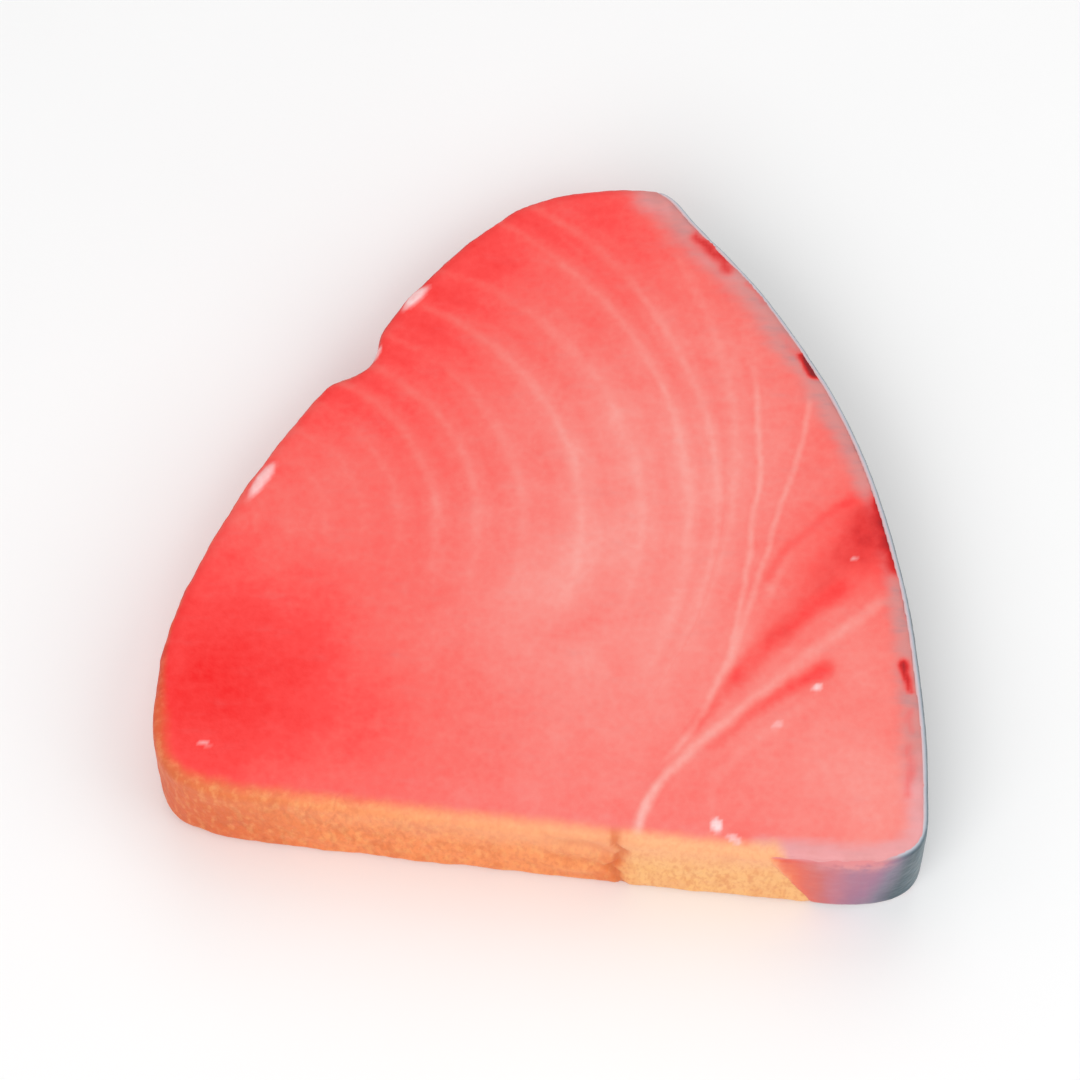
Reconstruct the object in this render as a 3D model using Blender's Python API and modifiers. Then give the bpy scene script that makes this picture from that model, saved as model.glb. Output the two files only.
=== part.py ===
"""Raw tuna steak: one cross-cut slice of a loin, with the skin left on its outer side.

The steak lies flat on its lower cut face. +Z is up through its thickness, +X runs
across it towards the skin, and +Y runs up towards the pointed end of the loin. The
origin is the middle of its footprint, at the surface that it lies on.
"""

from math import atan2

import bpy
import bmesh
from mathutils import Vector
from mathutils.geometry import interpolate_bezier

# Driving dimensions, in metres.
THICKNESS = 0.024         # between the two cut faces
RIM_RADIUS = 0.0022       # soft rounding where a cut face meets a side
SKIN_THICKNESS = 0.0014   # skin with the silvery layer under it
GAP = 0.0003              # clearance between the skin and the flesh

# The loin's cross-section, clockwise from the pointed end, in millimetres. Each pair is
# a place that the edge passes through, and the edge is one smooth line through them all.
SKIN_SIDE = (
    (25.2, 70.3), (30.8, 64.0), (45.7, 45.7), (60.9, 18.0), (69.4, -12.0), (72.5, -38.0),
)
BELLY_CORNER = ((72.9, -57.0), (71.2, -67.4), (62.5, -71.3))
FRONT_CUT = ((45.0, -70.3), (22.0, -67.9), (-14.0, -63.6), (-50.0, -59.2), (-61.5, -57.2))
LEFT_CORNER = ((-69.8, -52.8), (-72.5, -43.6))
LEFT_SIDE = ((-69.9, -22.4), (-58.2, 3.2), (-41.6, 27.3))
NOTCH = ((-35.8, 29.9), (-32.4, 33.2), (-30.8, 39.6))
UPPER_CUT = ((-21.6, 51.6), (-6.6, 65.2), (6.5, 70.4), (18.5, 71.2))
OUTLINE = SKIN_SIDE + BELLY_CORNER + FRONT_CUT + LEFT_CORNER + LEFT_SIDE + NOTCH + UPPER_CUT
SKIN_STRETCHES = len(SKIN_SIDE) + len(BELLY_CORNER) + 1   # from the point along the front cut

# The skin thins out on the front cut along a slanting line, in millimetres across.
SKIN_END_TOP = 41.2
SKIN_END_BOTTOM = 52.0
SKIN_END_Y = -70.0
END_BLOCK_SIZE = 60.0     # takes away whatever the band has beyond that line

POINTS_PER_STRETCH = 8    # straight pieces between two places of the outline
RIM_STEPS = 3             # rings across a rounded rim
SHARP_ANGLE = 0.7         # radians between faces whose shared edge stays sharp
MILLIMETRE = 0.001

# Finishes: base colour (linear RGB), roughness.
FLESH_FINISH = ((0.88, 0.20, 0.18), 0.35)
SKIN_FINISH = ((0.11, 0.13, 0.14), 0.40)


def clear_scene():
    """Remove every object that the file starts with."""
    for old in list(bpy.data.objects):
        bpy.data.objects.remove(old, do_unlink=True)


def new_collection(name):
    """Add a collection of that name to the scene."""
    collection = bpy.data.collections.new(name)
    bpy.context.scene.collection.children.link(collection)
    return collection


def make_material(name, finish):
    """A Principled material with one colour and one roughness."""
    colour, roughness = finish
    material = bpy.data.materials.new(name)
    material.use_nodes = True
    shader = material.node_tree.nodes["Principled BSDF"]
    shader.inputs["Base Color"].default_value = (*colour, 1.0)
    shader.inputs["Roughness"].default_value = roughness
    shader.inputs["Metallic"].default_value = 0.0
    return material


def outline_stretch(places, index):
    """Points on the smooth line from one place to the next, without the last one.

    The line's direction at a place is that of the chord between its two neighbours,
    and its handles are a third of the stretch that they shape.
    """
    before = places[index - 1]
    start = places[index]
    end = places[(index + 1) % len(places)]
    after = places[(index + 2) % len(places)]
    reach = (end - start).length / 3.0
    handle_out = start + (end - before).normalized() * reach
    handle_in = end - (after - start).normalized() * reach
    points = interpolate_bezier(start, handle_out, handle_in, end, POINTS_PER_STRETCH + 1)
    return points[:-1]


def outline_points():
    """Points all the way round the outline, with the middle of its box at the origin."""
    places = [Vector((x, y, 0.0)) * MILLIMETRE for x, y in OUTLINE]
    points = [point for index in range(len(places)) for point in outline_stretch(places, index)]
    across = [point.x for point in points]
    along = [point.y for point in points]
    middle = Vector((min(across) + max(across), min(along) + max(along), 0.0)) / 2.0
    return [point - middle for point in points]


def add_curve(name, points, cyclic, half_height, collection):
    """A curve through the points, extruded by half_height up and down."""
    curve = bpy.data.curves.new(name, "CURVE")
    curve.dimensions = "2D"
    curve.fill_mode = "BOTH" if cyclic else "NONE"
    curve.extrude = half_height
    spline = curve.splines.new("POLY")
    spline.points.add(len(points) - 1)
    for spline_point, place in zip(spline.points, points):
        spline_point.co = (place.x, place.y, 0.0, 1.0)
    spline.use_cyclic_u = cyclic
    obj = bpy.data.objects.new(name, curve)
    obj.location.z = THICKNESS / 2.0
    collection.objects.link(obj)
    return obj


def curve_to_mesh(curve_object):
    """Replace a curve object by a mesh object of the same shape, with its caps welded."""
    name = curve_object.name
    collection = curve_object.users_collection[0]
    bpy.context.view_layer.update()
    depsgraph = bpy.context.evaluated_depsgraph_get()
    mesh = bpy.data.meshes.new_from_object(curve_object.evaluated_get(depsgraph))
    welded = bmesh.new()
    welded.from_mesh(mesh)
    bmesh.ops.remove_doubles(welded, verts=welded.verts, dist=1e-6)
    bmesh.ops.recalc_face_normals(welded, faces=welded.faces)
    welded.to_mesh(mesh)
    welded.free()
    place = curve_object.matrix_world.copy()
    bpy.data.objects.remove(curve_object, do_unlink=True)
    solid = bpy.data.objects.new(name, mesh)
    solid.matrix_world = place
    collection.objects.link(solid)
    return solid


def add_slab(name, points, collection):
    """The whole slice, skin and flesh together, with softly rounded rims."""
    slab = add_curve(name, points, True, THICKNESS / 2.0 - RIM_RADIUS, collection)
    slab.data.bevel_depth = RIM_RADIUS
    slab.data.bevel_resolution = RIM_STEPS
    slab.data.offset = -RIM_RADIUS
    return curve_to_mesh(slab)


def add_skin_band(name, points, reach, collection):
    """A tall band along the skin side, which also runs on by its reach at both ends.

    Args:
        name: The band's name.
        points: The whole outline.
        reach: How far the band reaches to each side of the outline.
        collection: Where the band goes.
    """
    run = points[: SKIN_STRETCHES * POINTS_PER_STRETCH + 1]
    first_heading = (run[0] - run[1]).normalized()
    last_heading = (run[-1] - run[-2]).normalized()
    run = [run[0] + first_heading * reach, *run, run[-1] + last_heading * reach]
    band = curve_to_mesh(add_curve(name, run, False, THICKNESS, collection))
    wall = band.modifiers.new("wall", "SOLIDIFY")
    wall.thickness = 2.0 * reach
    wall.offset = 0.0
    wall.use_even_offset = True
    band.hide_render = True
    band.display_type = "WIRE"
    return band


def add_end_block(name, clearance, collection):
    """A block whose slanting face is the skin's end on the front cut.

    Args:
        name: The block's name.
        clearance: How far its face stands back from the skin's end.
        collection: Where the block goes.
    """
    slant = atan2((SKIN_END_BOTTOM - SKIN_END_TOP) * MILLIMETRE, THICKNESS)
    half = END_BLOCK_SIZE * MILLIMETRE / 2.0
    shape = bmesh.new()
    bmesh.ops.create_cube(shape, size=2.0 * half)
    bmesh.ops.translate(shape, verts=shape.verts, vec=(-half - clearance, 0.0, 0.0))
    mesh = bpy.data.meshes.new(name)
    shape.to_mesh(mesh)
    shape.free()
    block = bpy.data.objects.new(name, mesh)
    middle = (SKIN_END_TOP + SKIN_END_BOTTOM) / 2.0
    block.location = (middle * MILLIMETRE, SKIN_END_Y * MILLIMETRE, THICKNESS / 2.0)
    block.rotation_euler.y = -slant
    collection.objects.link(block)
    block.hide_render = True
    block.display_type = "WIRE"
    return block


def cut(obj, cutter, operation):
    """Cut an object with a cutter, by an exact Boolean."""
    modifier = obj.modifiers.new(cutter.name, "BOOLEAN")
    modifier.operation = operation
    modifier.solver = "EXACT"
    modifier.object = cutter


def finish(obj, material):
    """Give an object its material and smooth shading with sharp cut edges."""
    obj.data.materials.append(material)
    obj.data.shade_smooth()
    obj.data.set_sharp_from_angle(angle=SHARP_ANGLE)


def build_flesh(points, steak, cutters):
    """The flesh: the slice without its skin and the clearance behind it."""
    flesh = add_slab("flesh", points, steak)
    bed = add_skin_band("skin_bed", points, SKIN_THICKNESS + GAP, cutters)
    cut(bed, add_end_block("bed_end", GAP, cutters), "DIFFERENCE")
    cut(flesh, bed, "DIFFERENCE")
    finish(flesh, make_material("tuna flesh", FLESH_FINISH))


def build_skin(points, steak, cutters):
    """The skin: a thin strip down the outer side and round the belly corner."""
    skin = add_slab("skin", points, steak)
    line = add_skin_band("skin_line", points, SKIN_THICKNESS, cutters)
    cut(line, add_end_block("skin_end", 0.0, cutters), "DIFFERENCE")
    cut(skin, line, "INTERSECT")
    finish(skin, make_material("tuna skin", SKIN_FINISH))


def main():
    """Build the steak."""
    clear_scene()
    steak = new_collection("tuna_steak")
    cutters = new_collection("cutters")
    points = outline_points()
    build_flesh(points, steak, cutters)
    build_skin(points, steak, cutters)


main()
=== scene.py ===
"""A raw tuna steak as it looks on a pale studio floor.

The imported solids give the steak's form. This script gives each of them a finely meshed
body with the muscle's relief, its connective lines, its blood marks and its wet skin.
Places on the steak are in millimetres in the frame's own axes: +X towards the skin, +Y
towards the pointed end and +Z up.
"""

from __future__ import annotations

import logging
import math
from collections.abc import Sequence
from dataclasses import dataclass
from enum import Enum

import bmesh
import bpy
import numpy as np
from mathutils import Euler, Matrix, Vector, noise
from mathutils.bvhtree import BVHTree

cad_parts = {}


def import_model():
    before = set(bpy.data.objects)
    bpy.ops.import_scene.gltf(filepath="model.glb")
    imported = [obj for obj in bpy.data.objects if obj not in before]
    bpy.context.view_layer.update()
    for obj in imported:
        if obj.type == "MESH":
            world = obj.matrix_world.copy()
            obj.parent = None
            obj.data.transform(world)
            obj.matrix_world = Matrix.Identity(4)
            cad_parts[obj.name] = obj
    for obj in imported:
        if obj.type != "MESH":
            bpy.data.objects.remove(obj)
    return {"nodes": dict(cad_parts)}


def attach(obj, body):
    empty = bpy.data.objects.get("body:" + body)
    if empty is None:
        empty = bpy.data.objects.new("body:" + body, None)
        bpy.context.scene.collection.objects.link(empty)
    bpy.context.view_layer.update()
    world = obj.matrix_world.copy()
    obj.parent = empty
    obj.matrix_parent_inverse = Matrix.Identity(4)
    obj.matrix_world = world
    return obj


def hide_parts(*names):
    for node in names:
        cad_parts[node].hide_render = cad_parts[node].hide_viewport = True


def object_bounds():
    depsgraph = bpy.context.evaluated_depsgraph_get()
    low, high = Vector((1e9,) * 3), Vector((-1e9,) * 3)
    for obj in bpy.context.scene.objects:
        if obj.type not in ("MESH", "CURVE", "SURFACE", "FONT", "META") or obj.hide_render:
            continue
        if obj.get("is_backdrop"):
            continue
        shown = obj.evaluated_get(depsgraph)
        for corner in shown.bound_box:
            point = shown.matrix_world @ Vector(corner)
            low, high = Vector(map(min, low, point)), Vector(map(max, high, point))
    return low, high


LOG = logging.getLogger("tuna_steak")
MM = 0.001
WELD = 1e-6                    # points closer than this many metres are one
TURN = 2.0 * math.pi

Array = np.ndarray
Socket = bpy.types.NodeSocket
Place = tuple[float, float]
Range = tuple[float, float]
Scales = tuple[float, float, float]
Colour = tuple[float, float, float]
Stops = tuple[tuple[float, Colour], ...]

EVEN = (1.0, 1.0, 1.0)         # pattern scales for a pattern that isn't drawn out
UPRIGHT = (1.0, 1.0, 0.40)     # for fibres that run up through the steak
STREAKED = (0.50, 1.40, 1.0)   # for streaks that run in from the skin


# ---------------------------------------------------------------------------------------
# Small tools
# ---------------------------------------------------------------------------------------

def linear(red: int, green: int, blue: int) -> Colour:
    """Turn a display colour of 0 to 255 into the linear colour that shaders take.

    Args:
        red: How red the display colour is.
        green: How green it is.
        blue: How blue it is.

    Returns:
        The linear colour.
    """

    def channel(value: int) -> float:
        """One channel of the colour."""
        share = value / 255.0
        return share / 12.92 if share <= 0.04045 else ((share + 0.055) / 1.055) ** 2.4

    return channel(red), channel(green), channel(blue)


def smoothstep(low: float, high: float, values: Array) -> Array:
    """Rise smoothly from 0 at low to 1 at high.

    Args:
        low: Where the rise starts.
        high: Where it ends, which may be less than low for a fall.
        values: The values to map.

    Returns:
        Shares from 0 to 1.
    """
    share = np.clip((values - low) / (high - low), 0.0, 1.0)
    return share * share * (3.0 - 2.0 * share)


@dataclass(frozen=True)
class Relief:
    """A layer of smooth random relief.

    Attributes:
        height: How high its bumps are, in millimetres.
        size: How wide one bump is, in millimetres.
        seed: Shifts the pattern, so that two layers differ.
        octaves: How many sizes of bumps it has, each one finer than the last.
        stretch: Scales of the pattern along each axis.
        falloff: How much lower each finer set of bumps is.
        finer: How many times finer it is.
    """

    height: float
    size: float
    seed: float
    octaves: int = 2
    stretch: Scales = EVEN
    falloff: float = 1.0
    finer: float = 2.0

    def at(self, places: Array) -> Array:
        """How high the relief is.

        Args:
            places: Places as rows of x, y and z.

        Returns:
            The heights, in millimetres.
        """
        shift = Vector((self.seed, -2.0 * self.seed, 0.5 * self.seed))
        return self.height * np.array([
            noise.fractal(Vector(place) / self.size + shift, self.falloff, self.finer,
                          self.octaves, noise_basis="PERLIN_ORIGINAL")
            for place in places * self.stretch
        ])


class Coating(Enum):
    """The record's material slots."""

    FLESH = "flesh"
    SKIN = "skin"


# ---------------------------------------------------------------------------------------
# Material nodes
# ---------------------------------------------------------------------------------------

@dataclass(frozen=True)
class Mottle:
    """A soft random pattern in a material, with values around 0.5.

    Attributes:
        size: How wide a patch is, in millimetres.
        detail: How many times finer patches are laid on top.
        stretch: Scales of the pattern along each axis.
        warp: How far the pattern is distorted.
    """

    size: float
    detail: float = 3.0
    stretch: Scales = EVEN
    warp: float = 0.0


@dataclass(frozen=True)
class Patches:
    """Soft-edged patches, where a mottle's values are high.

    Attributes:
        mottle: The mottle.
        low: The value where a patch starts.
        high: The value where it is full.
        share: How much of it shows there.
    """

    mottle: Mottle
    low: float
    high: float
    share: float = 1.0


class NodeGraph:
    """Builds one material's node tree with short calls.

    Attributes:
        material: The material.
        tree: Its node tree.
        shader: Its Principled shader.
        coords: Object coordinates.
    """

    MIX_LOW = 6      # sockets of a Mix node for colours
    MIX_HIGH = 7
    MIX_RESULT = 2

    def __init__(self, name: str) -> None:
        """Start a material with a Principled shader.

        Args:
            name: The material's name.
        """
        self.material = bpy.data.materials.new(name)
        self.material.use_nodes = True
        self.tree = self.material.node_tree
        self.shader = self.tree.nodes["Principled BSDF"]
        self.coords = self.node("ShaderNodeTexCoord").outputs["Object"]

    def node(self, kind: str, **settings: object) -> bpy.types.Node:
        """Add a node.

        Args:
            kind: The node's type name.
            settings: Properties to set on it.

        Returns:
            The node.
        """
        made = self.tree.nodes.new(kind)
        for name, value in settings.items():
            setattr(made, name, value)
        return made

    def feed(self, target: Socket, source: Socket | float | Colour) -> None:
        """Link a socket to an input, or set the input to a plain value.

        Args:
            target: The input.
            source: A socket, a number or a colour.
        """
        if isinstance(source, bpy.types.NodeSocket):
            self.tree.links.new(source, target)
        elif isinstance(source, tuple) and len(target.default_value) == 4:
            target.default_value = (*source, 1.0)
        else:
            target.default_value = source

    def math(self, operation: str, first: Socket | float, second: Socket | float = 0.0) -> Socket:
        """A Math node.

        Args:
            operation: The node's operation.
            first: Its first value.
            second: Its second value.

        Returns:
            The result.
        """
        made = self.node("ShaderNodeMath", operation=operation)
        self.feed(made.inputs[0], first)
        self.feed(made.inputs[1], second)
        return made.outputs[0]

    def add(self, first: Socket, second: Socket | float) -> Socket:
        """The sum of two values."""
        return self.math("ADD", first, second)

    def times(self, first: Socket, second: Socket | float) -> Socket:
        """The product of two values."""
        return self.math("MULTIPLY", first, second)

    def scaled(self, value: Socket, factor: Socket | float, offset: Socket | float = 0.0) -> Socket:
        """A value times a factor, plus an offset.

        Args:
            value: The value.
            factor: What it is multiplied by.
            offset: What is added.

        Returns:
            The result.
        """
        made = self.node("ShaderNodeMath", operation="MULTIPLY_ADD")
        self.feed(made.inputs[0], value)
        self.feed(made.inputs[1], factor)
        self.feed(made.inputs[2], offset)
        return made.outputs[0]

    def opposite(self, share: Socket) -> Socket:
        """What a share leaves of 1."""
        return self.scaled(share, -1.0, 1.0)

    def rise(self, value: Socket, low: float, high: float, top: float = 1.0) -> Socket:
        """A smooth rise from 0 at low to top at high.

        Args:
            value: The value to map.
            low: Where the rise starts.
            high: Where it ends, which may be less than low for a fall.
            top: The height that it reaches.

        Returns:
            The mapped value.
        """
        made = self.node("ShaderNodeMapRange", interpolation_type="SMOOTHSTEP")
        self.feed(made.inputs["Value"], value)
        made.inputs["From Min"].default_value = low
        made.inputs["From Max"].default_value = high
        made.inputs["To Max"].default_value = top
        return made.outputs["Result"]

    def mix(self, share: Socket | float, low: Socket | Colour, high: Socket | Colour) -> Socket:
        """Blend two colours.

        Args:
            share: How much of the second colour shows.
            low: The first colour.
            high: The second colour.

        Returns:
            The blend.
        """
        made = self.node("ShaderNodeMix", data_type="RGBA")
        self.feed(made.inputs["Factor"], share)
        self.feed(made.inputs[self.MIX_LOW], low)
        self.feed(made.inputs[self.MIX_HIGH], high)
        return made.outputs[self.MIX_RESULT]

    def ramp(self, value: Socket, stops: Stops) -> Socket:
        """A colour ramp.

        Args:
            value: Where along the ramp, from 0 to 1.
            stops: Each stop's position and colour, in order.

        Returns:
            The ramp's colour.
        """
        made = self.node("ShaderNodeValToRGB")
        made.color_ramp.interpolation = "LINEAR"
        elements = made.color_ramp.elements
        while len(elements) < len(stops):
            elements.new(0.5)
        for element, (position, _) in zip(elements, stops):
            element.position = position
        for element, (_, colour) in zip(elements, stops):
            element.color = (*colour, 1.0)
        self.feed(made.inputs["Fac"], value)
        return made.outputs["Color"]

    def noise(self, mottle: Mottle) -> Socket:
        """A mottle's values, around 0.5.

        Args:
            mottle: The mottle.

        Returns:
            The value.
        """
        made = self.node("ShaderNodeTexNoise")
        self.feed(made.inputs["Vector"], self.stretched(mottle.stretch))
        made.inputs["Scale"].default_value = 1.0 / (mottle.size * MM)
        made.inputs["Detail"].default_value = mottle.detail
        made.inputs["Distortion"].default_value = mottle.warp
        return made.outputs["Fac"]

    def centred(self, mottle: Mottle, span: float) -> Socket:
        """A mottle's values around 0, over a span."""
        return self.scaled(self.noise(mottle), span, -0.5 * span)

    def stirred(self, value: Socket, mottle: Mottle, span: float) -> Socket:
        """A value that a mottle moves up and down over a span."""
        return self.add(value, self.centred(mottle, span))

    def patches(self, patches: Patches) -> Socket:
        """How much of the patches shows, from 0 to their share."""
        return self.rise(self.noise(patches.mottle), patches.low, patches.high, patches.share)

    def cells(self, size: float, stretch: Scales = EVEN) -> Socket:
        """Distance from the middle of rounded cells.

        Args:
            size: How wide a cell is, in millimetres.
            stretch: Scales of the pattern along each axis.

        Returns:
            The distance, from 0 in the middle.
        """
        made = self.node("ShaderNodeTexVoronoi", feature="F1")
        self.feed(made.inputs["Vector"], self.stretched(stretch))
        made.inputs["Scale"].default_value = 1.0 / (size * MM)
        return made.outputs["Distance"]

    def stretched(self, stretch: Scales) -> Socket:
        """Object coordinates, scaled along each axis.

        Args:
            stretch: The scales.

        Returns:
            The coordinates.
        """
        if stretch == EVEN:
            return self.coords
        made = self.node("ShaderNodeMapping")
        self.feed(made.inputs["Vector"], self.coords)
        made.inputs["Scale"].default_value = stretch
        return made.outputs["Vector"]

    def field(self, name: str) -> tuple[Socket, Socket, Socket]:
        """The three values of a vector attribute.

        Args:
            name: The attribute's name.

        Returns:
            The values.
        """
        made = self.node("ShaderNodeAttribute", attribute_name=name)
        split = self.node("ShaderNodeSeparateXYZ")
        self.feed(split.inputs[0], made.outputs["Vector"])
        return split.outputs[0], split.outputs[1], split.outputs[2]

    def bump(self, height: Socket, depth: float) -> Socket:
        """A Bump node.

        Args:
            height: Height from 0 to 1.
            depth: How deep a height of 1 is, in millimetres.

        Returns:
            The bumped normal.
        """
        made = self.node("ShaderNodeBump")
        self.feed(made.inputs["Height"], height)
        made.inputs["Distance"].default_value = depth * MM
        return made.outputs["Normal"]


# ---------------------------------------------------------------------------------------
# The muscle's pattern, seen on a cut face
# ---------------------------------------------------------------------------------------

@dataclass(frozen=True)
class Flake:
    """A pale arc between two flakes of muscle.

    Attributes:
        right: x of the arc's rightmost place.
        level: y of that place.
        radius: The arc's radius.
        strength: How clearly it shows, from 0 to 1.
    """

    right: float
    level: float
    radius: float
    strength: float


@dataclass(frozen=True)
class Septum:
    """A line of connective tissue between two muscles.

    Attributes:
        places: Places that it passes through.
        half_width: Half of its width.
        start: How much paler it is than the flesh at its first place, or redder if below 0.
        end: How much paler or redder it is at its last place.
    """

    places: tuple[Place, ...]
    half_width: float
    start: float
    end: float


@dataclass(frozen=True)
class BloodMark:
    """A dark red mark with soft edges, drawn out from one place to another.

    Attributes:
        start: Where it starts.
        end: Where it ends.
        start_radius: Its half width at the start.
        end_radius: Its half width at the end.
        start_strength: How dark it is at the start, where 1 is as dark as blood gets.
        end_strength: How dark it is at the end, likewise. More than 1 widens its dark middle.
    """

    start: Place
    end: Place
    start_radius: float
    end_radius: float
    start_strength: float
    end_strength: float


@dataclass(frozen=True)
class TonePatch:
    """A soft patch where the flesh is paler or redder than around it.

    Attributes:
        x: Across its middle.
        y: Along its middle.
        length: How far it spreads along its heading.
        width: How far it spreads across its heading.
        heading: Which way it is drawn out, in degrees from +X.
        amount: How much paler it is, or redder if below 0.
    """

    x: float
    y: float
    length: float
    width: float
    heading: float
    amount: float


@dataclass(frozen=True)
class Scrap:
    """A white scrap of membrane on the cut face or its rim.

    Attributes:
        x: Across its middle.
        y: Along its middle.
        length: How long it is.
        width: How wide it is.
        heading: Which way its length points, in degrees from +X.
        height: How far it stands out.
        white: How white it is, from 0 to 1.
    """

    x: float
    y: float
    length: float
    width: float
    heading: float
    height: float
    white: float


FLAKES = (
    Flake(-34.0, -2.0, 22.0, 0.30),
    Flake(-27.0, -2.0, 28.0, 0.45),
    Flake(-19.8, -2.0, 33.0, 0.95),
    Flake(-11.6, -2.0, 37.5, 0.80),
    Flake(-3.2, -1.5, 43.5, 0.60),
    Flake(7.8, -0.5, 48.3, 1.00),
    Flake(19.2, 0.5, 54.6, 0.75),
    Flake(28.6, 0.5, 72.0, 1.00),
    Flake(34.0, 4.0, 74.0, 0.85),
    Flake(37.6, 14.0, 88.0, 0.60),
    Flake(46.0, 14.0, 150.0, 0.0),
)

SEPTA = (
    Septum(
        ((41.6, 36.0), (42.2, 12.0), (40.2, -7.0), (36.6, -26.0), (29.5, -43.0), (22.5, -52.5)),
        0.52, 0.20, 0.22,
    ),
    Septum(
        ((53.0, 29.0), (51.0, 17.0), (47.3, 4.5), (42.6, -10.0), (38.6, -23.0), (34.0, -36.0)),
        0.50, 0.22, 0.18,
    ),
    Septum(
        ((60.0, 2.5), (52.0, -4.5), (46.2, -11.0), (41.5, -22.0), (37.0, -32.0)),
        0.80, 0.22, 0.16,
    ),
    Septum(
        ((68.4, -15.2), (57.0, -24.6), (48.0, -32.0), (38.5, -40.0), (29.0, -48.2)),
        1.05, 0.22, 0.12,
    ),
    Septum(
        ((48.0, -32.0), (38.5, -40.0), (29.0, -48.2), (22.8, -55.0), (19.0, -61.5), (17.0, -70.5)),
        0.80, 0.00, 0.66,
    ),
    Septum(
        ((53.5, -37.5), (46.0, -42.5), (37.5, -49.5), (32.0, -56.5), (33.0, -63.5)),
        0.90, 0.10, 0.06,
    ),
    Septum(((62.0, 5.0), (53.0, -3.0), (46.0, -9.8), (43.0, -15.0)), 1.10, -0.34, -0.16),
    Septum(
        ((56.0, -31.6), (50.0, -34.6), (44.0, -38.0), (36.5, -43.5), (30.0, -50.0)),
        1.25, -0.50, -0.12,
    ),
    Septum(((60.0, -13.5), (50.0, -21.0), (41.0, -29.6), (36.0, -36.0)), 1.60, -0.34, -0.30),
    Septum(((44.0, -16.0), (40.0, -26.0), (35.0, -36.0), (27.0, -46.5)), 0.90, -0.16, -0.24),
)

BLOOD_MARKS = (
    BloodMark((65.4, 3.6), (68.6, -10.5), 1.8, 2.5, 0.92, 0.74),
    BloodMark((64.0, 0.0), (66.5, -8.0), 5.0, 6.0, 0.34, 0.34),
    BloodMark((61.5, -4.5), (45.0, -24.5), 6.2, 3.8, 0.50, 0.27),
    BloodMark((45.0, -25.0), (35.5, -37.0), 3.2, 2.6, 0.16, 0.24),
    BloodMark((30.6, 60.2), (37.0, 53.6), 1.7, 2.0, 0.66, 0.60),
    BloodMark((40.5, 49.5), (44.0, 45.0), 0.8, 0.8, 0.35, 0.25),
    BloodMark((51.4, 33.6), (53.6, 30.2), 1.1, 1.4, 1.15, 1.15),
    BloodMark((47.0, 38.0), (50.5, 33.0), 1.6, 1.2, 0.25, 0.35),
    BloodMark((60.5, 19.0), (64.0, 9.0), 1.0, 1.0, 0.35, 0.50),
    BloodMark((68.9, -31.2), (69.2, -36.4), 1.3, 1.2, 0.85, 0.70),
    BloodMark((69.4, -41.0), (69.8, -45.0), 0.9, 0.8, 0.30, 0.26),
    BloodMark((69.2, -48.5), (69.0, -57.5), 1.2, 1.3, 0.30, 0.34),
    BloodMark((69.6, -16.5), (70.2, -22.0), 0.9, 0.8, 0.60, 0.36),
    BloodMark((54.4, -31.4), (52.0, -32.6), 2.0, 1.5, 0.34, 0.30),
)

TONE_PATCHES = (
    TonePatch(22.0, 2.0, 31.0, 40.0, 0.0, 0.60),
    TonePatch(64.0, -56.0, 15.0, 16.0, 0.0, 0.46),
    TonePatch(-6.0, -66.0, 50.0, 14.0, 0.0, 0.30),
    TonePatch(-18.0, -24.0, 22.0, 20.0, 0.0, 0.16),
    TonePatch(-46.0, 4.0, 13.0, 10.0, 35.0, 0.26),
    TonePatch(4.0, -12.0, 10.0, 4.0, 38.0, 0.16),
    TonePatch(6.0, -23.5, 6.0, 2.2, 15.0, -0.12),
    TonePatch(-57.0, -38.0, 17.0, 12.0, 10.0, -0.27),
    TonePatch(20.0, -38.0, 17.0, 12.0, 0.0, 0.13),
    TonePatch(56.0, -10.0, 13.0, 11.0, 35.0, -0.16),
    TonePatch(-20.0, 46.0, 26.0, 9.0, 47.0, -0.14),
    TonePatch(10.0, 62.0, 16.0, 10.0, 0.0, -0.10),
    TonePatch(40.0, 18.0, 12.0, 30.0, 0.0, 0.10),
    TonePatch(62.0, -26.0, 8.0, 9.0, 0.0, 0.22),
)

SCRAPS = (
    Scrap(-53.6, 7.0, 9.0, 2.4, 57.0, 0.28, 0.70),
    Scrap(-24.4, 46.6, 7.0, 2.4, 50.0, 0.30, 0.85),
    Scrap(-31.8, 34.8, 3.0, 1.2, 62.0, 0.20, 0.70),
    Scrap(-37.6, 29.6, 4.0, 1.1, 18.0, 0.18, 0.60),
    Scrap(32.8, -63.8, 2.8, 2.0, 100.0, 0.30, 1.00),
    Scrap(36.0, -66.2, 3.2, 1.3, -35.0, 0.18, 0.60),
    Scrap(52.0, -35.9, 1.9, 1.5, 30.0, 0.25, 0.75),
    Scrap(44.4, -43.6, 2.4, 1.6, 40.0, 0.10, 0.35),
    Scrap(-63.0, -47.5, 2.6, 0.8, -25.0, 0.10, 0.45),
    Scrap(60.0, -9.4, 1.2, 0.6, 30.0, 0.08, 0.45),
)


def smooth_line(places: Sequence[Place], steps: int = 10) -> Array:
    """Points on one smooth line through the places, a Catmull-Rom curve.

    Args:
        places: The places to pass through.
        steps: How many points each stretch gets.

    Returns:
        The points as rows of x and y.
    """
    known = np.array(places)
    known = np.vstack([2 * known[0] - known[1], known, 2 * known[-1] - known[-2]])
    share = np.linspace(0.0, 1.0, steps, endpoint=False)[:, None]
    runs = []
    for before, start, end, after in zip(known, known[1:], known[2:], known[3:]):
        runs.append(0.5 * (
            2 * start + (end - before) * share
            + (2 * before - 5 * start + 4 * end - after) * share**2
            + (3 * start - before - 3 * end + after) * share**3
        ))
    return np.vstack([*runs, known[-2]])


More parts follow.
